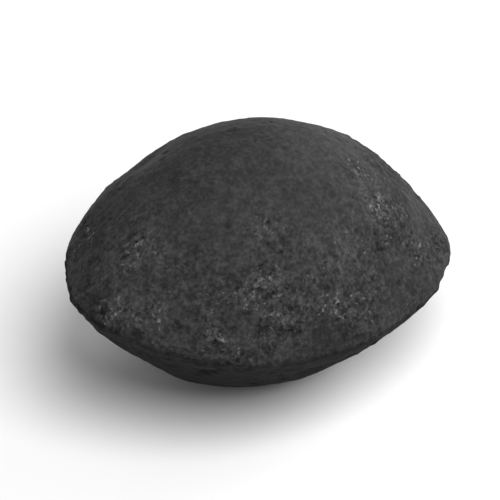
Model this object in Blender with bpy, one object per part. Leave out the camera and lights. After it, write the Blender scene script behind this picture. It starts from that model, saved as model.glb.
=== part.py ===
"""A pressed charcoal briquette, pillow shaped: two cupped halves that meet at a blunt, crumbly seam.

Metres and +Z up. The long axis lies along X. The briquette rests on a flat worn on its underside,
which leans its seam a little, and the origin is the middle of the box around it, at that flat.
"""

import math
import random

import bmesh
import bpy
import numpy as np
from mathutils import Matrix, Vector, noise

MM = 0.001

# The pillow. Its halves are named as it rests.
LENGTH = 52.0 * MM
WIDTH = 40.7 * MM
UPPER_RISE = 17.3 * MM
LOWER_RISE = 16.5 * MM
LEFT_PINCH = 0.642
RIGHT_PINCH = 0.462
ROUND_END = 0.5
PINCH_REACH = 0.45
CROWN_POWER = 2.084
SHOULDER_POWER = 0.975

# The seam: how blunt it is, how far the halves miss each other, and how unevenly it runs.
SEAM_BLUNTNESS = 0.030
SEAM_REACH = 0.16
HALVES_MISS = Vector((0.30 * MM, 0.22 * MM))
SEAM_WANDER = 0.28 * MM
SEAM_WAVE = 5.0 * MM
OUTWARD_SEED = 3.7
UPWARD_SEED = 9.2

# Where the seam stands proud in a nub and a second corner, and where it is rubbed straight.
RIM_SHAPING = (
    # degrees round the plan from +X, spread in degrees, how far it stands proud
    (-26.0, 13.0, 0.75 * MM),
    (-45.0, 10.0, 0.55 * MM),
    (-62.0, 11.5, -0.34 * MM),
    (117.0, 17.0, -0.50 * MM),
)

# How it rests.
LEAN = math.radians(8.4)
LEAN_TOWARD = math.radians(-33.0)
WEAR = 1.05 * MM

# Relief: soft lumps all over, and dents that crowd beside the seam.
LUMPS = ((13.0 * MM, 0.26 * MM), (5.5 * MM, 0.11 * MM))
DENT_SEED = 11
DENT_KINDS = (
    # how many, heights on either half, radii, depths
    (64, (0.02, 0.24), (1.0 * MM, 2.2 * MM), (0.20 * MM, 0.50 * MM)),
    (16, (0.28, 0.85), (2.0 * MM, 4.0 * MM), (0.10 * MM, 0.25 * MM)),
)
BROAD_FORMS = (
    # degrees round the plan, height from seam 0 to pole 1, radius, how far it stands out
    (118.0, 0.34, 3.6 * MM, -0.75 * MM),
    (-111.0, 0.10, 1.5 * MM, -0.80 * MM),
    (35.0, -0.30, 4.2 * MM, -0.70 * MM),
    (-160.0, -0.42, 3.0 * MM, -0.50 * MM),
    (-16.0, 0.06, 3.5 * MM, 0.30 * MM),
    (92.0, 0.40, 6.0 * MM, 0.45 * MM),
    (30.0, 0.34, 6.0 * MM, 0.40 * MM),
)

CELLS = 28                # mesh cells along each edge of the cube that the pillow grows from
POLE_EASE = 0.35          # over 0 packs the cells closer at the seam than at the crowns
MERGE = 0.1 * MM
SHARP_ANGLE = math.radians(35)

CHARCOAL_COLOUR = (0.032, 0.032, 0.032, 1.0)
CHARCOAL_ROUGHNESS = 0.82


def clear_scene():
    for thing in list(bpy.data.objects):
        bpy.data.objects.remove(thing, do_unlink=True)


def charcoal():
    material = bpy.data.materials.new("charcoal")
    material.use_nodes = True
    shader = material.node_tree.nodes["Principled BSDF"]
    shader.inputs["Base Color"].default_value = CHARCOAL_COLOUR
    shader.inputs["Roughness"].default_value = CHARCOAL_ROUGHNESS
    shader.inputs["Metallic"].default_value = 0.0
    return material


def cube_sphere():
    """A unit sphere of even cells, with one ring of edges on its equator."""
    ball = bmesh.new()
    bmesh.ops.create_cube(ball, size=2.0)
    bmesh.ops.subdivide_edges(ball, edges=ball.edges[:], cuts=CELLS - 1, use_grid_fill=True)
    for corner in ball.verts:
        # The tangent spreads the cells evenly over the sphere.
        even = Vector(math.tan(value * math.pi / 4) for value in corner.co)
        corner.co = even.normalized()
    return ball


def bump(distance, spread):
    return np.exp(-((distance / spread) ** 2))


def turn_between(angles, middle_degrees):
    """Degrees between each angle and the middle one, from -180 to 180."""
    return (np.degrees(angles) - middle_degrees + 180) % 360 - 180


def noise_at(points, size, seed):
    """Smooth noise, about -1 to 1, with features of the given size."""
    return np.array([noise.noise(Vector(point) / size + Vector((seed, seed, seed))) for point in points])


def plan_outline(angles, heights=0.0):
    """The outline of the ring at a height. The ends are pinched at the seam and round at the crowns."""
    pinch = np.where(np.cos(angles) < 0, LEFT_PINCH, RIGHT_PINCH)
    pinch = ROUND_END + (pinch - ROUND_END) * bump(heights, PINCH_REACH)
    across = np.sign(np.sin(angles)) * np.abs(np.sin(angles)) ** (2 * pinch)
    return np.c_[LENGTH / 2 * np.cos(angles), WIDTH / 2 * across]


def plan_fraction(height):
    """How far out from the crown a ring lies, 1 at the seam (height 0) and 0 at a pole (height 1)."""
    return np.clip((1 - height) * (1 + POLE_EASE * height), 0, 1)


def pillow_point(angles, heights):
    """Points on the smooth pillow. Heights run from -1 at the lower pole, 0 at the seam, to 1."""
    away = np.abs(heights)
    blunt = np.sqrt(away**2 + SEAM_BLUNTNESS**2)
    edge_to_edge = plan_fraction(SEAM_BLUNTNESS)
    out = plan_fraction(blunt) / edge_to_edge
    rise = np.where(heights < 0, LOWER_RISE, UPPER_RISE)
    lift = (1 - plan_fraction(away) ** CROWN_POWER) ** SHOULDER_POWER
    plan = plan_outline(angles, heights) * out[:, None]
    return np.c_[plan, np.sign(heights) * rise * lift]


def seam_shape(points, angles, heights):
    """Adds the nub, the corner, the rubbed stretches, the missed halves and the seam's wandering."""
    near = bump(heights, SEAM_REACH)
    outward = plan_outline(angles)
    outward /= np.linalg.norm(outward, axis=1)[:, None]
    rim = np.c_[plan_outline(angles), np.zeros(len(angles))]
    proud = SEAM_WANDER * noise_at(rim, SEAM_WAVE, OUTWARD_SEED)
    for middle, spread, height in RIM_SHAPING:
        proud += height * bump(turn_between(angles, middle), spread)
    points[:, :2] += outward * (proud * near)[:, None]
    points[:, :2] -= np.outer(near * (heights < 0), HALVES_MISS)
    points[:, 2] += SEAM_WANDER * noise_at(rim, 2 * SEAM_WAVE, UPWARD_SEED) * near
    return points


def outward_normals(points):
    """Outward directions of the ellipsoid closest to the pillow."""
    slope = points / np.array([LENGTH / 2, WIDTH / 2, (UPPER_RISE + LOWER_RISE) / 2]) ** 2
    return slope / np.linalg.norm(slope, axis=1)[:, None]


def dents():
    """Each dent as its angle in degrees, height, radius and depth."""
    draw = random.Random(DENT_SEED)
    found = []
    for count, heights, radii, depths in DENT_KINDS:
        for _ in range(count):
            height = draw.choice((-1, 1)) * draw.uniform(*heights)
            found.append((draw.uniform(0, 360), height, draw.uniform(*radii), draw.uniform(*depths)))
    return found


def mound(points, angle, height, radius, proud):
    """A round swelling of the pillow, or a dent where it stands out by less than nothing."""
    middle = pillow_point(np.radians([angle]), np.array([height]))[0]
    return proud * bump(np.linalg.norm(points - middle, axis=1), radius)


def coarse_relief(points):
    """How far the lumps, the broad forms and the deepest of the dents move each point out."""
    lumps = sum(high * noise_at(points, size, size / MM) for size, high in LUMPS)
    broad = sum(mound(points, *form) for form in BROAD_FORMS)
    depth = np.max([mound(points, *dent) for dent in dents()], axis=0)
    return lumps + broad - depth


def shape_pillow(ball):
    """Moves the sphere's corners onto the briquette."""
    sphere = np.array([corner.co for corner in ball.verts])
    angles = np.arctan2(sphere[:, 1], sphere[:, 0])
    heights = np.arcsin(np.clip(sphere[:, 2], -1, 1)) / (math.pi / 2)
    smooth = pillow_point(angles, heights)
    points = seam_shape(smooth.copy(), angles, heights)
    points += outward_normals(smooth) * coarse_relief(smooth)[:, None]
    for corner, point in zip(ball.verts, points):
        corner.co = point


def rest_on_wear(ball):
    """Leans the briquette, cuts its worn flat and fills the cut."""
    axis = Vector((-math.sin(LEAN_TOWARD), math.cos(LEAN_TOWARD), 0))
    bmesh.ops.rotate(ball, verts=ball.verts[:], matrix=Matrix.Rotation(LEAN, 3, axis))
    floor = min(corner.co.z for corner in ball.verts) + WEAR
    bmesh.ops.bisect_plane(
        ball,
        geom=ball.verts[:] + ball.edges[:] + ball.faces[:],
        plane_co=(0, 0, floor),
        plane_no=(0, 0, 1),
        clear_inner=True,
    )
    bmesh.ops.remove_doubles(ball, verts=ball.verts[:], dist=MERGE)
    rim = [edge for edge in ball.edges if edge.is_boundary]
    for edge in rim:
        for corner in edge.verts:
            corner.co.z = floor
    bmesh.ops.contextual_create(ball, geom=rim)


def stand_on_origin(ball):
    places = np.array([corner.co for corner in ball.verts])
    middle = (places.min(axis=0) + places.max(axis=0)) / 2
    middle[2] = places[:, 2].min()
    bmesh.ops.translate(ball, verts=ball.verts[:], vec=Vector(-middle))


def briquette(collection):
    ball = cube_sphere()
    shape_pillow(ball)
    rest_on_wear(ball)
    stand_on_origin(ball)
    bmesh.ops.recalc_face_normals(ball, faces=ball.faces[:])
    mesh = bpy.data.meshes.new("briquette")
    ball.to_mesh(mesh)
    ball.free()
    mesh.shade_smooth()
    mesh.set_sharp_from_angle(angle=SHARP_ANGLE)
    mesh.materials.append(charcoal())
    piece = bpy.data.objects.new("briquette", mesh)
    collection.objects.link(piece)
    return piece


def main():
    clear_scene()
    collection = bpy.data.collections.new("charcoal_briquette")
    bpy.context.scene.collection.children.link(collection)
    briquette(collection)


main()
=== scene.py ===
"""Dresses the charcoal briquette: a finely modelled skin, its charcoal, a pale floor, light and a camera.

Metres and +Z up, in the frame of the solid that the skin stands for.
"""

import math
import random

import bmesh
import bpy
import numpy as np
from mathutils import Matrix, Vector, noise


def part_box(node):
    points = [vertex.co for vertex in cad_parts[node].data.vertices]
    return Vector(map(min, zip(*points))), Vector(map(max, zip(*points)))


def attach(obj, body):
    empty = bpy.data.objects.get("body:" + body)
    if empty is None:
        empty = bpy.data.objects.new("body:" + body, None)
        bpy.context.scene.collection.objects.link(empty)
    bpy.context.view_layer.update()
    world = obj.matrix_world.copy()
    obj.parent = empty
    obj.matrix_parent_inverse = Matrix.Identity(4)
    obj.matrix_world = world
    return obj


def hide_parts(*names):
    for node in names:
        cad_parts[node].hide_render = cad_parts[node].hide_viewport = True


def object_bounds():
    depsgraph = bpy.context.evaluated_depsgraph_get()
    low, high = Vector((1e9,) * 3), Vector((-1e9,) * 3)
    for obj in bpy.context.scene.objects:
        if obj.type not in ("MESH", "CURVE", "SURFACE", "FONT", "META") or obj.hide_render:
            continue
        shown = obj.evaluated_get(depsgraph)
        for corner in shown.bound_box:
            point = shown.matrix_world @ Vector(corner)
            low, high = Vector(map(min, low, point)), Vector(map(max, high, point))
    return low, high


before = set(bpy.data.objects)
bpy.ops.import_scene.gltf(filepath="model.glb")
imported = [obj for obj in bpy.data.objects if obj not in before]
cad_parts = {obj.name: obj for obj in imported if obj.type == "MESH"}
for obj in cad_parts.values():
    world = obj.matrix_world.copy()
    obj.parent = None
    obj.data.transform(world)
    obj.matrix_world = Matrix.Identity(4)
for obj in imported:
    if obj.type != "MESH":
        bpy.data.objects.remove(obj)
solid_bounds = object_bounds()

MM = 0.001

# The pillow, as its solid has it.
LENGTH = 52.0 * MM
WIDTH = 40.7 * MM
UPPER_RISE = 17.3 * MM
LOWER_RISE = 16.5 * MM
LEFT_PINCH = 0.642
RIGHT_PINCH = 0.462
ROUND_END = 0.5
PINCH_REACH = 0.45
CROWN_POWER = 2.084
SHOULDER_POWER = 0.975
SEAM_BLUNTNESS = 0.030
SEAM_REACH = 0.16
HALVES_MISS = Vector((0.30 * MM, 0.22 * MM))
SEAM_WANDER = 0.28 * MM
SEAM_WAVE = 5.0 * MM
OUTWARD_SEED = 3.7
UPWARD_SEED = 9.2
RIM_SHAPING = (
    # degrees round the plan from +X, spread in degrees, how far it stands proud
    (-26.0, 13.0, 0.75 * MM),
    (-45.0, 10.0, 0.55 * MM),
    (-62.0, 11.5, -0.34 * MM),
    (117.0, 17.0, -0.50 * MM),
)
LEAN = math.radians(8.4)
LEAN_TOWARD = math.radians(-33.0)
WEAR = 1.05 * MM
LUMPS = ((13.0 * MM, 0.26 * MM), (5.5 * MM, 0.11 * MM))
DENT_SEED = 11
DENT_KINDS = (
    # how many, heights on either half, radii, depths
    (64, (0.02, 0.24), (1.0 * MM, 2.2 * MM), (0.20 * MM, 0.50 * MM)),
    (16, (0.28, 0.85), (2.0 * MM, 4.0 * MM), (0.10 * MM, 0.25 * MM)),
)
BROAD_FORMS = (
    # degrees round the plan, height from seam 0 to pole 1, radius, how far it stands out
    (118.0, 0.34, 3.6 * MM, -0.75 * MM),
    (-111.0, 0.10, 1.5 * MM, -0.80 * MM),
    (35.0, -0.30, 4.2 * MM, -0.70 * MM),
    (-160.0, -0.42, 3.0 * MM, -0.50 * MM),
    (-16.0, 0.06, 3.5 * MM, 0.30 * MM),
    (92.0, 0.40, 6.0 * MM, 0.45 * MM),
    (30.0, 0.34, 6.0 * MM, 0.40 * MM),
)
POLE_EASE = 0.35

# The skin's own fine relief: a coarse band beside the seam, a crumbly rim, pits and crumbs.
CELLS = 128               # mesh cells along each edge of the cube that the skin grows from
SOFT_EDGE = 0.06 * MM     # over what depth the skin eases into its solid's box
GRAIN_REACH = 0.42        # how far the coarse band reaches from the seam towards the crown
GRAIN_LEAN = 0.14         # how much further it reaches on the side that it leans to
GRAIN_SIDE = math.radians(-50.0)
LOWER_REACH = 0.35        # how far it reaches on the lower half, as a share
GRAIN_EDGE = 0.45         # over what height it ends
GRAIN_WANDER = 0.20       # how far its end wanders
GRAIN_PATCH = 7.0 * MM
GRAIN_SEED = 21.3
SMOOTH_SHARE = 0.30       # how coarse the band's smoothest patches are
ROUGH_PATCH = 5.0 * MM
ROUGH_EDGE = 1.0          # over what rise in the noise a patch turns coarse
ROUGH_SEED = 8.6
GRAIN_LAYERS = (
    # size, height
    (2.2 * MM, 0.10 * MM),
    (1.1 * MM, 0.14 * MM),
    (0.7 * MM, 0.08 * MM),
)
CROWN_GRAIN = 0.42        # how much of the grain is left on the smooth crowns
RIM_CRUMBLE = 0.18 * MM
RIM_CRUMBLE_SIZE = 1.7 * MM
RIM_CRUMBLE_REACH = 0.05
RIM_CRUMBLE_SEED = 61.0
FINE_SEED = 5
RAGGEDNESS = 0.55 * MM    # how far the edges of pits and crumbs wander
RAGGED_SIZE = 0.9 * MM
RAGGED_SEED = 1
BOWL_POWER = 1.5          # how steeply pits and crumbs rise from their edges
SEAM_CROWDING = 0.30      # how closely pits and loose crumbs keep to the seam
HIGHEST_SPOT = 0.95       # how near a pole they come
PITS = 300                # how many, besides the placed ones
PIT_RADII = (0.45 * MM, 1.10 * MM)
PIT_DEPTHS = (0.10 * MM, 0.32 * MM)
PLACED_PITS = (
    # degrees round the plan, height from seam 0 to pole 1, radius, depth
    (-111.0, 0.07, 1.20 * MM, 0.50 * MM),
    (-106.0, 0.13, 0.80 * MM, 0.32 * MM),
    (-114.0, 0.30, 0.70 * MM, 0.26 * MM),
    (-60.0, 0.16, 0.90 * MM, 0.30 * MM),
    (-140.0, 0.12, 0.90 * MM, 0.30 * MM),
    (66.0, 0.10, 1.20 * MM, 0.45 * MM),
    (158.0, -0.12, 1.10 * MM, 0.40 * MM),
)
CRUMBS = 420
CRUMB_RADII = (0.35 * MM, 0.80 * MM)
CRUMB_HEIGHTS = (0.06 * MM, 0.18 * MM)
LOOSE_CRUMB_EVERY = 3     # one crumb in so many lies loose, and the others gather in clusters
CLUSTER_SCATTER = 0.7     # how widely a cluster's crumbs lie, in its spreads
CLUSTERS = (
    # where pale crumbs gather: degrees round the plan, height, spread, strength
    (-43.0, 0.48, 3.2 * MM, 1.00),
    (-26.0, 0.62, 2.4 * MM, 0.80),
    (-117.0, 0.32, 3.0 * MM, 1.00),
    (-111.0, 0.20, 1.8 * MM, 0.80),
    (-127.0, 0.09, 1.4 * MM, 1.00),
    (-162.0, 0.09, 1.5 * MM, 1.00),
    (-147.0, 0.14, 2.2 * MM, 0.60),
    (-88.0, 0.20, 2.4 * MM, 0.80),
    (-44.0, 0.20, 2.6 * MM, 0.80),
    (-117.0, 0.58, 1.8 * MM, 0.40),
    (-172.0, 0.34, 3.2 * MM, 0.70),
    (-80.0, 0.42, 3.6 * MM, 0.50),
    (20.0, 0.18, 2.6 * MM, 0.90),
    (62.0, 0.14, 2.2 * MM, 0.90),
    (96.0, 0.30, 2.8 * MM, 0.70),
    (150.0, 0.16, 2.4 * MM, 0.90),
    (-70.0, -0.16, 2.0 * MM, 0.60),
    (45.0, -0.12, 2.4 * MM, 0.80),
    (130.0, -0.20, 2.4 * MM, 0.80),
    (178.0, -0.14, 1.8 * MM, 0.70),
)
TONE_AND_SHADE_PATCHES = (
    # where the tone is lighter or darker: degrees round the plan, height, spread, how much lighter
    (-170.0, 0.45, 4.5 * MM, 0.22),
    (-160.0, 0.20, 4.0 * MM, 0.16),
    (-80.0, 0.46, 4.0 * MM, 0.18),
    (-126.0, 0.50, 3.5 * MM, -0.12),
    (150.0, 0.18, 3.0 * MM, -0.30),
    (-46.0, 0.30, 5.0 * MM, -0.12),
    (-92.0, 0.06, 4.5 * MM, -0.32),
    # painted shade beside the seam at the left end
    (-170.0, 0.03, 2.6 * MM, -0.35),
    (62.0, 0.40, 5.0 * MM, 0.16),
    (100.0, 0.60, 4.0 * MM, -0.12),
)

# The charcoal's looks.
CHARCOAL_TONE = 0.028
LOWER_PAINTED_SHADE = 0.22         # how dark painted shade makes the lower half, as a share of its tone
SHADE_STEP = 0.68          # how much of the painted shade begins at the seam itself
SHADE_STEP_EDGE = 0.025    # over what height it begins there
SHADE_FADE = (-0.5, 0.06)  # between what heights the rest of the painted shade deepens downwards
NOISE_RANGE = (0.3, 0.7)  # between what values a noise texture mostly lies
NOISE_ROUGHNESS = 0.6
TONE_LAYERS = (
    # size, detail, change on the crowns, change in the coarse band
    (9.0 * MM, 2.0, 0.12, 0.12),
    (2.3 * MM, 3.0, 0.16, 0.18),
    (1.0 * MM, 3.0, 0.30, 0.52),
    (0.5 * MM, 3.0, 0.24, 0.46),
)
PALE_TONE = 0.14
PALE_SIZE = 0.65 * MM
PALE_GRAIN = 0.85 * MM
PALE_GRAIN_EDGES = (0.75, 0.30)     # where a grain is gone and where it is whole, in cells from its middle
PALE_RARITY = (0.72, 0.60, 0.48)    # on the crowns, in the coarse band and in the clusters
PALE_EDGE = 0.12
PALE_RISE = 0.5           # how far pale grains stand out, as a share of the pores' depth
PORE_SIZE = 0.9 * MM
PORE_SHIFT = (1.0, 1.0, 1.0)        # takes the pores' noise from elsewhere than the pale grains'
PORE_RARITY = (0.70, 0.58, 0.54)    # on the crowns, in the coarse band and in the clusters
PORE_EDGE = 0.12
PORE_SHADE = 0.62
HOLLOW_SHADE = 0.50
CRUMB_SHINE = 0.30
CLUSTER_HAZE = 0.20
CROWN_ROUGHNESS = 0.66
GRAIN_ROUGHNESS = 0.88
LOWER_ROUGHNESS = 1.0
SPECULAR = 0.12
SAND_SIZE = 0.30 * MM
SAND_DETAIL = 4.0
SAND_DEPTH = 0.12 * MM
SAND_SHARES = (0.4, 1.0)  # on the crowns and in the coarse band

# The view, floor and light.
VIEW_AZIMUTH = -32.96
VIEW_ELEVATION = 39.15
LENS_MM = 1000.0
SENSOR_MM = 36.0
FRAME_WIDTH = 63.0 * MM
CLIP_END = 10.0
FLOOR_SIZE = 3.0
FLOOR_TONE = 0.82
FLOOR_ROUGHNESS = 0.9
FLOOR_SPECULAR = 0.2
SKY = 0.36


def bump(distance, spread):
    """1 at no distance, falling softly to nearly 0 at twice the spread."""
    return np.exp(-((distance / spread) ** 2))


def smooth_step(value):
    """0 up to 0 and 1 from 1 on, with a smooth rise between them."""
    value = np.clip(value, 0, 1)
    return value * value * (3 - 2 * value)


def smooth_edge(value, width):
    """A smooth rise of the given width from 0 to 1, half way up where the value is 0."""
    return smooth_step(value / width + 0.5)


def turn_between(angles, middle_degrees):
    """Degrees between each angle and the middle one, from -180 to 180."""
    return (np.degrees(angles) - middle_degrees + 180) % 360 - 180


def noise_at(points, size, seed):
    """Smooth noise, about -1 to 1, with features of the given size."""
    return np.array([noise.noise(Vector(point) / size + Vector((seed, seed, seed))) for point in points])


def cube_sphere():
    """A unit sphere of even cells, with one ring of edges on its equator."""
    ball = bmesh.new()
    bmesh.ops.create_cube(ball, size=2.0)
    bmesh.ops.subdivide_edges(ball, edges=ball.edges[:], cuts=CELLS - 1, use_grid_fill=True)
    for corner in ball.verts:
        # The tangent spreads the cells evenly over the sphere.
        even = Vector(math.tan(value * math.pi / 4) for value in corner.co)
        corner.co = even.normalized()
    return ball


def plan_outline(angles, heights=0.0):
    """The outline of the ring at a height. The ends are pinched at the seam and round at the crowns."""
    pinch = np.where(np.cos(angles) < 0, LEFT_PINCH, RIGHT_PINCH)
    pinch = ROUND_END + (pinch - ROUND_END) * bump(heights, PINCH_REACH)
    across = np.sign(np.sin(angles)) * np.abs(np.sin(angles)) ** (2 * pinch)
    return np.c_[LENGTH / 2 * np.cos(angles), WIDTH / 2 * across]


def plan_fraction(height):
    """How far out from the crown a ring lies, 1 at the seam (height 0) and 0 at a pole (height 1)."""
    return np.clip((1 - height) * (1 + POLE_EASE * height), 0, 1)


def pillow_point(angles, heights):
    """Points on the smooth pillow. Heights run from -1 at the lower pole, 0 at the seam, to 1."""
    away = np.abs(heights)
    blunt = np.sqrt(away**2 + SEAM_BLUNTNESS**2)
    edge_to_edge = plan_fraction(SEAM_BLUNTNESS)
    out = plan_fraction(blunt) / edge_to_edge
    rise = np.where(heights < 0, LOWER_RISE, UPPER_RISE)
    lift = (1 - plan_fraction(away) ** CROWN_POWER) ** SHOULDER_POWER
    plan = plan_outline(angles, heights) * out[:, None]
    return np.c_[plan, np.sign(heights) * rise * lift]


def pillow_spot(angle, height):
    """The smooth pillow's one point at an angle in degrees and a height."""
    return pillow_point(np.radians([angle]), np.array([height]))[0]


def seam_shape(points, angles, heights):
    """Adds the nub, the corner, the rubbed stretches, the missed halves and the seam's wandering."""
    near = bump(heights, SEAM_REACH)
    outward = plan_outline(angles)
    outward /= np.linalg.norm(outward, axis=1)[:, None]
    rim = np.c_[plan_outline(angles), np.zeros(len(angles))]
    proud = SEAM_WANDER * noise_at(rim, SEAM_WAVE, OUTWARD_SEED)
    for middle, spread, height in RIM_SHAPING:
        proud += height * bump(turn_between(angles, middle), spread)
    points[:, :2] += outward * (proud * near)[:, None]
    points[:, :2] -= np.outer(near * (heights < 0), HALVES_MISS)
    points[:, 2] += SEAM_WANDER * noise_at(rim, 2 * SEAM_WAVE, UPWARD_SEED) * near
    return points


def outward_normals(points):
    """Outward directions of the ellipsoid closest to the pillow."""
    slope = points / np.array([LENGTH / 2, WIDTH / 2, (UPPER_RISE + LOWER_RISE) / 2]) ** 2
    return slope / np.linalg.norm(slope, axis=1)[:, None]


def dents():
    """Each dent as its angle in degrees, height, radius and depth."""
    draw = random.Random(DENT_SEED)
    found = []
    for count, heights, radii, depths in DENT_KINDS:
        for _ in range(count):
            height = draw.choice((-1, 1)) * draw.uniform(*heights)
            found.append((draw.uniform(0, 360), height, draw.uniform(*radii), draw.uniform(*depths)))
    return found


def mound(points, angle, height, radius, proud):
    """A round swelling of the pillow, or a dent where it stands out by less than nothing."""
    distance = np.linalg.norm(points - pillow_spot(angle, height), axis=1)
    return proud * bump(distance, radius)


def coarse_relief(points):
    """How far the lumps, the broad forms and the deepest of the dents move each point out."""
    lumps = sum(high * noise_at(points, size, size / MM) for size, high in LUMPS)
    broad = sum(mound(points, *form) for form in BROAD_FORMS)
    depth = np.max([mound(points, *dent) for dent in dents()], axis=0)
    return lumps + broad - depth


def pillow_form(angles, heights):
    """The briquette's form before its fine relief, in the moulds' frame."""
    smooth = pillow_point(angles, heights)
    points = seam_shape(smooth.copy(), angles, heights)
    return points + outward_normals(smooth) * coarse_relief(smooth)[:, None]


def grain_zone(points, angles, heights):
    """How coarse the skin is: up to 1 in the band beside the seam, 0 on the smooth crowns."""
    reach = GRAIN_REACH + GRAIN_LEAN * np.cos(angles - GRAIN_SIDE)
    reach += GRAIN_WANDER * noise_at(points, GRAIN_PATCH, GRAIN_SEED)
    reach *= np.where(heights < 0, LOWER_REACH, 1.0)
    band = smooth_edge(reach - np.abs(heights), GRAIN_EDGE)
    patches = smooth_edge(noise_at(points, ROUGH_PATCH, ROUGH_SEED), ROUGH_EDGE)
    return band * (SMOOTH_SHARE + (1 - SMOOTH_SHARE) * patches)


def cluster_strength(points):
    """How thickly pale crumbs lie."""
    return np.max([mound(points, *cluster) for cluster in CLUSTERS], axis=0)


def bowl(distance):
    """A round spot's height, from 1 at its middle to 0 at its edge."""
    return (1 - distance**2) ** BOWL_POWER


def spots_field(points, spots):
    """The highest of many round spots at each point. Each spot is its middle, radius and height."""
    field = np.zeros(len(points))
    for middle, radius, height in spots:
        distance = np.linalg.norm(points - middle, axis=1) / radius
        inside = distance < 1
        field[inside] = np.maximum(field[inside], height * bowl(distance[inside]))
    return field


def ragged(points):
    """The points moved a little at random, which makes round spots ragged."""
    # Vector noise that isn't seeded starts from the clock, and differs from run to run.
    noise.seed_set(RAGGED_SEED)
    moves =np.array([noise.noise_vector(Vector(point) / RAGGED_SIZE) for point in points])
    return points + RAGGEDNESS * moves


def seam_height(draw):
    """A height that is most often beside the seam, on either half."""
    return draw.choice((-1, 1)) * min(abs(draw.gauss(0, SEAM_CROWDING)), HIGHEST_SPOT)


def pits(draw):
    """A few placed pits, then random ones: most are small, and the wide ones are the deep ones."""
    found = [(pillow_spot(angle, height), radius, depth) for angle, height, radius, depth in PLACED_PITS]
    for _ in range(PITS):
        middle = pillow_spot(draw.uniform(0, 360), seam_height(draw))
        size = draw.random() ** 2
        radius = PIT_RADII[0] + (PIT_RADII[1] - PIT_RADII[0]) * size
        depth = PIT_DEPTHS[0] + (PIT_DEPTHS[1] - PIT_DEPTHS[0]) * size
        found.append((middle, radius, depth))
    return found


def crumbs(draw):
    """Most crumbs gather in the clusters, and the others lie loose."""
    found = []
    for number in range(CRUMBS):
        angle, height = draw.uniform(0, 360), seam_height(draw)
        if number % LOOSE_CRUMB_EVERY:
            angle, height, spread, _ = draw.choice(CLUSTERS)
            angle += math.degrees(draw.gauss(0, CLUSTER_SCATTER) * spread / (WIDTH / 2))
            height += draw.gauss(0, CLUSTER_SCATTER) * spread / (LENGTH / 2)
        middle = pillow_spot(angle, height)
        found.append((middle, draw.uniform(*CRUMB_RADII), draw.uniform(*CRUMB_HEIGHTS)))
    return found


def fine_relief(points, angles, heights):
    """How far the fine relief stands out, with the fields that the charcoal's looks follow."""
    draw = random.Random(FINE_SEED)
    cluster = cluster_strength(points)
    zone = np.maximum(cluster, grain_zone(points, angles, heights))
    uneven = ragged(points)
    pit = spots_field(uneven, pits(draw))
    crumb = spots_field(uneven, crumbs(draw))
    rough = sum(high * noise_at(points, size, size / MM) for size, high in GRAIN_LAYERS)
    relief = rough * (CROWN_GRAIN + (1 - CROWN_GRAIN) * zone) - pit + crumb
    crumble = RIM_CRUMBLE * noise_at(points, RIM_CRUMBLE_SIZE, RIM_CRUMBLE_SEED)
    relief += crumble * bump(heights, RIM_CRUMBLE_REACH)
    fields = {
        "grain": zone,
        "hollow": np.clip(pit / PIT_DEPTHS[1], 0, 1),
        "crumb": np.clip(crumb / CRUMB_HEIGHTS[1], 0, 1),
        "cluster": cluster,
        "patch_tone_and_shade": sum(mound(points, *patch) for patch in TONE_AND_SHADE_PATCHES),
    }
    return relief, fields


def lean(points):
    """Turns the points from the moulds' frame to how the briquette rests."""
    axis = Vector((-math.sin(LEAN_TOWARD), math.cos(LEAN_TOWARD), 0))
    return points @ np.array(Matrix.Rotation(LEAN, 3, axis)).T


def soft_floor(values, floor):
    """The values, easing into the floor where they come near it or lie under it."""
    return floor + SOFT_EDGE * np.logaddexp(0, (values - floor) / SOFT_EDGE)


def settle(skin, form):
    """Leans the skin, eases its worn flat and farthest peaks into its solid's box, and fits it there."""
    lowest, highest = (np.array(corner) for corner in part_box("briquette"))
    foot = lean(form).min(axis=0) + np.array([0, 0, WEAR])
    placed = soft_floor(lean(skin) + lowest - foot, lowest)
    placed = -soft_floor(-placed, -highest)
    low, high = placed.min(axis=0), placed.max(axis=0)
    return lowest + (placed - low) / (high - low) * (highest - lowest)


def unshaded_share(heights):
    """How free of painted shade the skin is: wholly above the seam, and less and less below, where the
    lower half is painted darker.
    """
    low, high = SHADE_FADE
    ends_at_seam = smooth_edge(heights, SHADE_STEP_EDGE)
    fades = smooth_step((heights - low) / (high - low))
    return SHADE_STEP * ends_at_seam + (1 - SHADE_STEP) * fades


def vertex_normals(mesh):
    normals = np.empty(len(mesh.vertices) * 3, np.float32)
    mesh.vertices.foreach_get("normal", normals)
    return normals.reshape(-1, 3).astype(float)


def place_vertices(mesh, points):
    mesh.vertices.foreach_set("co", points.astype(np.float32).ravel())
    mesh.update()


def briquette_skin():
    """The finely modelled briquette, with the fields that its charcoal's looks follow."""
    ball = cube_sphere()
    sphere = np.array([corner.co for corner in ball.verts])
    mesh = bpy.data.meshes.new("briquette_skin")
    ball.to_mesh(mesh)
    ball.free()
    angles = np.arctan2(sphere[:, 1], sphere[:, 0])
    heights = np.arcsin(np.clip(sphere[:, 2], -1, 1)) / (math.pi / 2)
    form = pillow_form(angles, heights)
    place_vertices(mesh, form)
    relief, fields = fine_relief(form, angles, heights)
    skin = form + vertex_normals(mesh) * relief[:, None]
    place_vertices(mesh, settle(skin, form))
    # How free the skin is of the painted shade that darkens its lower half.
    fields["unshaded_share"] = unshaded_share(heights)
    for name, values in fields.items():
        attribute = mesh.attributes.new(name, "FLOAT", "POINT")
        attribute.data.foreach_set("value", values.astype(np.float32))
    mesh.shade_smooth()
    piece = bpy.data.objects.new("briquette_skin", mesh)
    bpy.context.scene.collection.objects.link(piece)
    return piece


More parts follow.
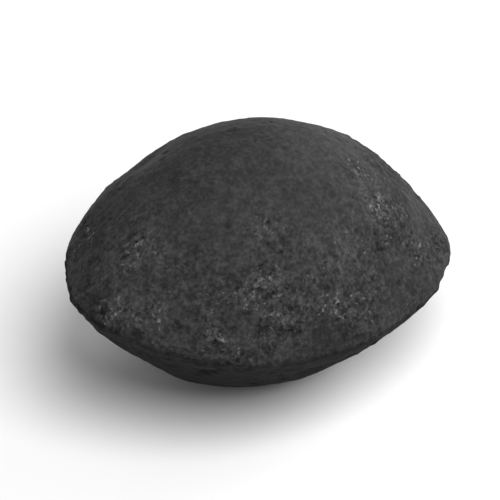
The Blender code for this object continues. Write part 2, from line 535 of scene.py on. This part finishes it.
class Nodes:
    """Short calls for building a material's node tree."""

    def __init__(self, material):
        self.tree = material.node_tree

    def add(self, kind, inputs=(), **settings):
        node = self.tree.nodes.new("ShaderNode" + kind)
        for key, value in settings.items():
            setattr(node, key, value)
        for socket, value in dict(inputs).items():
            self.put(node.inputs[socket], value)
        return node

    def put(self, socket, value):
        if isinstance(value, bpy.types.NodeSocket):
            self.tree.links.new(value, socket)
        else:
            socket.default_value = value

    def math(self, operation, first, second):
        return self.add("Math", {0: first, 1: second}, operation=operation).outputs[0]

    def times(self, *values):
        product = values[0]
        for value in values[1:]:
            product = self.math("MULTIPLY", product, value)
        return product

    def plus(self, first, second):
        return self.math("ADD", first, second)

    def shaded(self, tone, amount, by):
        """The tone made darker by a share where the amount is 1, or lighter where the share is negative."""
        return self.times(tone, self.math("SUBTRACT", 1.0, self.times(amount, by)))

    def blend(self, amount, first, second):
        """first where the amount is 0 and second where it is 1."""
        node = self.add("Mix", {"Factor": amount, "A": first, "B": second}, data_type="FLOAT")
        return node.outputs["Result"]

    def span(self, value, low, high, to_low=0.0, to_high=1.0):
        inputs = {"Value": value, "From Min": low, "From Max": high, "To Min": to_low, "To Max": to_high}
        return self.add("MapRange", inputs).outputs["Result"]

    def noise(self, where, size, detail=3.0):
        inputs = {"Vector": where, "Scale": 1 / size, "Detail": detail, "Roughness": NOISE_ROUGHNESS}
        return self.add("TexNoise", inputs).outputs["Fac"]

    def patches(self, where, size, threshold, edge):
        """Ragged patches where the noise rises over the threshold, stronger where it rises higher."""
        return self.span(self.noise(where, size), threshold, self.plus(threshold, edge))

    def field(self, name):
        return self.add("Attribute", attribute_name=name).outputs["Fac"]


def new_material(name):
    material = bpy.data.materials.new(name)
    material.use_nodes = True
    return material, Nodes(material), material.node_tree.nodes["Principled BSDF"]


def rarity(nodes, coarse, levels):
    """How high noise must rise to show, on the crowns, in the coarse band and in the clusters."""
    on_crown, in_band, in_cluster = levels
    return nodes.blend(nodes.field("cluster"), nodes.blend(coarse, on_crown, in_band), in_cluster)


def charcoal():
    """Matt pressed charcoal: mottled near-black, sandy beside the seam, with pale crumbs, dark pores and
    painted shade on its lower half.
    """
    material, nodes, shader = new_material("charcoal")
    where = nodes.add("TexCoord").outputs["Object"]
    coarse = nodes.field("grain")

    tone = CHARCOAL_TONE
    for size, detail, on_crown, in_band in TONE_LAYERS:
        change = nodes.span(nodes.noise(where, size, detail), *NOISE_RANGE, -1.0, 1.0)
        tone = nodes.shaded(tone, change, nodes.blend(coarse, on_crown, in_band))

    pale_at, pore_at = (rarity(nodes, coarse, levels) for levels in (PALE_RARITY, PORE_RARITY))
    pale = nodes.patches(where, PALE_SIZE, pale_at, PALE_EDGE)
    cells = nodes.add("TexVoronoi", {"Vector": where, "Scale": 1 / PALE_GRAIN}).outputs["Distance"]
    pale = nodes.times(pale, nodes.span(cells, *PALE_GRAIN_EDGES))
    elsewhere = nodes.add("Mapping", {"Vector": where, "Location": PORE_SHIFT}).outputs["Vector"]
    pores = nodes.patches(elsewhere, PORE_SIZE, pore_at, PORE_EDGE)
    tone = nodes.shaded(tone, nodes.field("cluster"), -CLUSTER_HAZE)
    # Lighter and darker patches of tone, one of them painted shade beside the seam at the left end.
    tone = nodes.shaded(tone, nodes.field("patch_tone_and_shade"), -1.0)
    tone = nodes.blend(pale, tone, PALE_TONE)
    # Painted shade: the lower half is darkened below the seam.
    tone = nodes.times(tone, nodes.blend(nodes.field("unshaded_share"), LOWER_PAINTED_SHADE, 1.0))
    tone = nodes.shaded(tone, nodes.field("crumb"), -CRUMB_SHINE)
    tone = nodes.shaded(tone, nodes.field("hollow"), HOLLOW_SHADE)
    tone = nodes.shaded(tone, pores, PORE_SHADE)
    colour = nodes.add("CombineColor", {"Red": tone, "Green": tone, "Blue": tone}).outputs["Color"]
    nodes.put(shader.inputs["Base Color"], colour)

    roughness = nodes.blend(coarse, CROWN_ROUGHNESS, GRAIN_ROUGHNESS)
    nodes.put(shader.inputs["Roughness"], nodes.blend(nodes.field("unshaded_share"), LOWER_ROUGHNESS, roughness))
    shader.inputs["Specular IOR Level"].default_value = SPECULAR
    sand = nodes.times(nodes.noise(where, SAND_SIZE, SAND_DETAIL), nodes.blend(coarse, *SAND_SHARES))
    height = nodes.plus(sand, nodes.math("SUBTRACT", nodes.times(pale, PALE_RISE), pores))
    surface = nodes.add("Bump", {"Distance": SAND_DEPTH, "Height": height})
    nodes.put(shader.inputs["Normal"], surface.outputs["Normal"])
    return material


def floor():
    plane = bmesh.new()
    bmesh.ops.create_grid(plane, x_segments=1, y_segments=1, size=FLOOR_SIZE / 2)
    mesh = bpy.data.meshes.new("floor")
    plane.to_mesh(mesh)
    plane.free()
    material, _, shader = new_material("floor_white")
    shader.inputs["Base Color"].default_value = (FLOOR_TONE, FLOOR_TONE, FLOOR_TONE, 1.0)
    shader.inputs["Roughness"].default_value = FLOOR_ROUGHNESS
    shader.inputs["Specular IOR Level"].default_value = FLOOR_SPECULAR
    mesh.materials.append(material)
    piece = bpy.data.objects.new("floor", mesh)
    bpy.context.scene.collection.objects.link(piece)


def direction(azimuth, elevation):
    """From the object towards a camera or light. Azimuth 0 is the front, -Y, and it grows towards +X."""
    turn, lift = math.radians(azimuth), math.radians(elevation)
    return Vector((math.sin(turn) * math.cos(lift), -math.cos(turn) * math.cos(lift), math.sin(lift)))


def soft_light(name, azimuth, elevation, distance, size, power):
    light = bpy.data.lights.new(name, "AREA")
    light.shape = "DISK"
    light.size = size
    light.energy = power
    lamp = bpy.data.objects.new(name, light)
    toward = direction(azimuth, elevation)
    lamp.location = toward * distance
    lamp.rotation_euler = toward.to_track_quat("Z", "Y").to_euler()
    bpy.context.scene.collection.objects.link(lamp)


def lighting():
    soft_light("side", azimuth=105.0, elevation=17.0, distance=1.0, size=0.5, power=5.4)
    soft_light("front", azimuth=10.0, elevation=60.0, distance=1.0, size=0.9, power=11.9)
    world = bpy.data.worlds.new("studio")
    world.use_nodes = True
    background = world.node_tree.nodes["Background"]
    background.inputs["Color"].default_value = (1.0, 1.0, 1.0, 1.0)
    background.inputs["Strength"].default_value = SKY
    bpy.context.scene.world = world


def camera():
    data = bpy.data.cameras.new("camera")
    data.lens = LENS_MM
    data.sensor_width = SENSOR_MM
    data.clip_end = CLIP_END
    view = bpy.data.objects.new("camera", data)
    toward = direction(VIEW_AZIMUTH, VIEW_ELEVATION)
    lowest, highest = (Vector(corner) for corner in solid_bounds)
    middle = (lowest + highest) / 2
    view.location = middle + toward * (FRAME_WIDTH * LENS_MM / SENSOR_MM)
    view.rotation_euler = toward.to_track_quat("Z", "Y").to_euler()
    bpy.context.scene.collection.objects.link(view)
    bpy.context.scene.camera = view


def main():
    skin = briquette_skin()
    skin.data.materials.append(charcoal())
    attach(skin, "root")
    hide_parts("briquette")
    floor()
    lighting()
    camera()
    bpy.context.scene.view_settings.view_transform = "Standard"


main()
